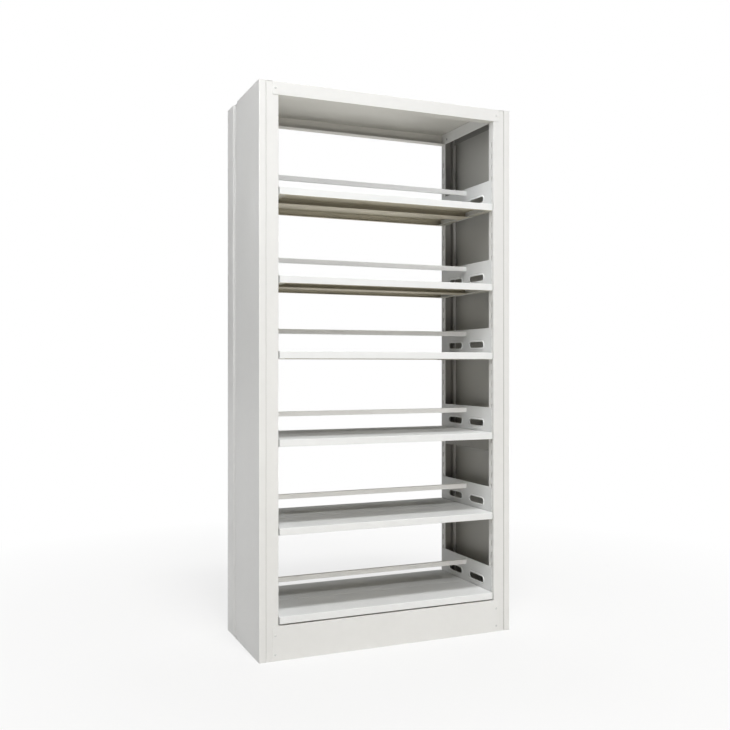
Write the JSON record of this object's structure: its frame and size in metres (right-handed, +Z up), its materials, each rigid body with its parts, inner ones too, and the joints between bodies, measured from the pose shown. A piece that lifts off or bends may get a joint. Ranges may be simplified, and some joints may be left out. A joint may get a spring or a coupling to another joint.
{
  "type": "double sided library shelving",
  "caption": "Free-standing double sided bay of folded sheet steel library shelving, with hung shelf boards, centre stop bars, slotted end frames, side panels and kick plates.",
  "frame": {"origin": "on the floor under the middle of the bay", "axes": "+Z up, X along the row with +X to the right seen from the front aisle, -Y to the front aisle and +Y to the rear aisle"},
  "size_m": [1, 0.425, 2],
  "materials": {
    "cover_paint": "satin off-white powder coat",
    "frame_paint": "satin off-white powder coat",
    "hanger_paint": "satin pale grey powder coat",
    "shelf_paint": "semi-gloss off-white powder coat",
    "bar_paint": "satin off-white powder coat",
    "fastener": "zinc plated"
  },
  "bodies": {
    "frame": {"top_panel": "cover_paint", "side_panel_left": "cover_paint", "top_side_rail_left": "frame_paint", "mid_side_rail_left": "frame_paint", "bottom_side_rail_left": "frame_paint", "upright_front_left": "frame_paint", "upright_rear_left": "frame_paint", "side_panel_right": "cover_paint", "top_side_rail_right": "frame_paint", "mid_side_rail_right": "frame_paint", "bottom_side_rail_right": "frame_paint", "upright_front_right": "frame_paint", "upright_rear_right": "frame_paint", "kick_plate_front": "cover_paint", "kick_plate_rear": "cover_paint", "foot_caps": "frame_paint"},
    "level_1": {"hanger_plate_1_left": "hanger_paint", "hanger_plate_1_right": "hanger_paint", "stop_bar_1": "bar_paint"},
    "level_2": {"hanger_plate_2_left": "hanger_paint", "hanger_plate_2_right": "hanger_paint", "stop_bar_2": "bar_paint"},
    "level_3": {"hanger_plate_3_left": "hanger_paint", "hanger_plate_3_right": "hanger_paint", "stop_bar_3": "bar_paint"},
    "level_4": {"hanger_plate_4_left": "hanger_paint", "hanger_plate_4_right": "hanger_paint", "stop_bar_4": "bar_paint"},
    "level_5": {"hanger_plate_5_left": "hanger_paint", "hanger_plate_5_right": "hanger_paint", "stop_bar_5": "bar_paint"},
    "level_6": {"hanger_plate_6_left": "hanger_paint", "hanger_plate_6_right": "hanger_paint", "stop_bar_6": "bar_paint"},
    "board_1_front": {"shelf_board_1_front": "shelf_paint"},
    "board_1_rear": {"shelf_board_1_rear": "shelf_paint"},
    "board_2_front": {"shelf_board_2_front": "shelf_paint"},
    "board_2_rear": {"shelf_board_2_rear": "shelf_paint"},
    "board_3_front": {"shelf_board_3_front": "shelf_paint"},
    "board_3_rear": {"shelf_board_3_rear": "shelf_paint"},
    "board_4_front": {"shelf_board_4_front": "shelf_paint"},
    "board_4_rear": {"shelf_board_4_rear": "shelf_paint"},
    "board_5_front": {"shelf_board_5_front": "shelf_paint"},
    "board_5_rear": {"shelf_board_5_rear": "shelf_paint"},
    "board_6_front": {"shelf_board_6_front": "shelf_paint"},
    "board_6_rear": {"shelf_board_6_rear": "shelf_paint"}
  },
  "joints": [
    {"name": "unhook_level_1", "type": "slide", "parent": "frame", "child": "level_1", "axis": [0, 0, 1], "range_m": [0, 0.008]},
    {"name": "unhook_level_2", "type": "slide", "parent": "frame", "child": "level_2", "axis": [0, 0, 1], "range_m": [0, 0.008]},
    {"name": "unhook_level_3", "type": "slide", "parent": "frame", "child": "level_3", "axis": [0, 0, 1], "range_m": [0, 0.008]},
    {"name": "unhook_level_4", "type": "slide", "parent": "frame", "child": "level_4", "axis": [0, 0, 1], "range_m": [0, 0.008]},
    {"name": "unhook_level_5", "type": "slide", "parent": "frame", "child": "level_5", "axis": [0, 0, 1], "range_m": [0, 0.008]},
    {"name": "unhook_level_6", "type": "slide", "parent": "frame", "child": "level_6", "axis": [0, 0, 1], "range_m": [0, 0.008]},
    {"name": "lift_board_1_front", "type": "slide", "parent": "level_1", "child": "board_1_front", "axis": [0, 0, 1], "range_m": [0, 0.06]},
    {"name": "lift_board_1_rear", "type": "slide", "parent": "level_1", "child": "board_1_rear", "axis": [0, 0, 1], "range_m": [0, 0.06]},
    {"name": "lift_board_2_front", "type": "slide", "parent": "level_2", "child": "board_2_front", "axis": [0, 0, 1], "range_m": [0, 0.06]},
    {"name": "lift_board_2_rear", "type": "slide", "parent": "level_2", "child": "board_2_rear", "axis": [0, 0, 1], "range_m": [0, 0.06]},
    {"name": "lift_board_3_front", "type": "slide", "parent": "level_3", "child": "board_3_front", "axis": [0, 0, 1], "range_m": [0, 0.06]},
    {"name": "lift_board_3_rear", "type": "slide", "parent": "level_3", "child": "board_3_rear", "axis": [0, 0, 1], "range_m": [0, 0.06]},
    {"name": "lift_board_4_front", "type": "slide", "parent": "level_4", "child": "board_4_front", "axis": [0, 0, 1], "range_m": [0, 0.06]},
    {"name": "lift_board_4_rear", "type": "slide", "parent": "level_4", "child": "board_4_rear", "axis": [0, 0, 1], "range_m": [0, 0.06]},
    {"name": "lift_board_5_front", "type": "slide", "parent": "level_5", "child": "board_5_front", "axis": [0, 0, 1], "range_m": [0, 0.06]},
    {"name": "lift_board_5_rear", "type": "slide", "parent": "level_5", "child": "board_5_rear", "axis": [0, 0, 1], "range_m": [0, 0.06]},
    {"name": "lift_board_6_front", "type": "slide", "parent": "level_6", "child": "board_6_front", "axis": [0, 0, 1], "range_m": [0, 0.06]},
    {"name": "lift_board_6_rear", "type": "slide", "parent": "level_6", "child": "board_6_rear", "axis": [0, 0, 1], "range_m": [0, 0.06]}
  ]
}
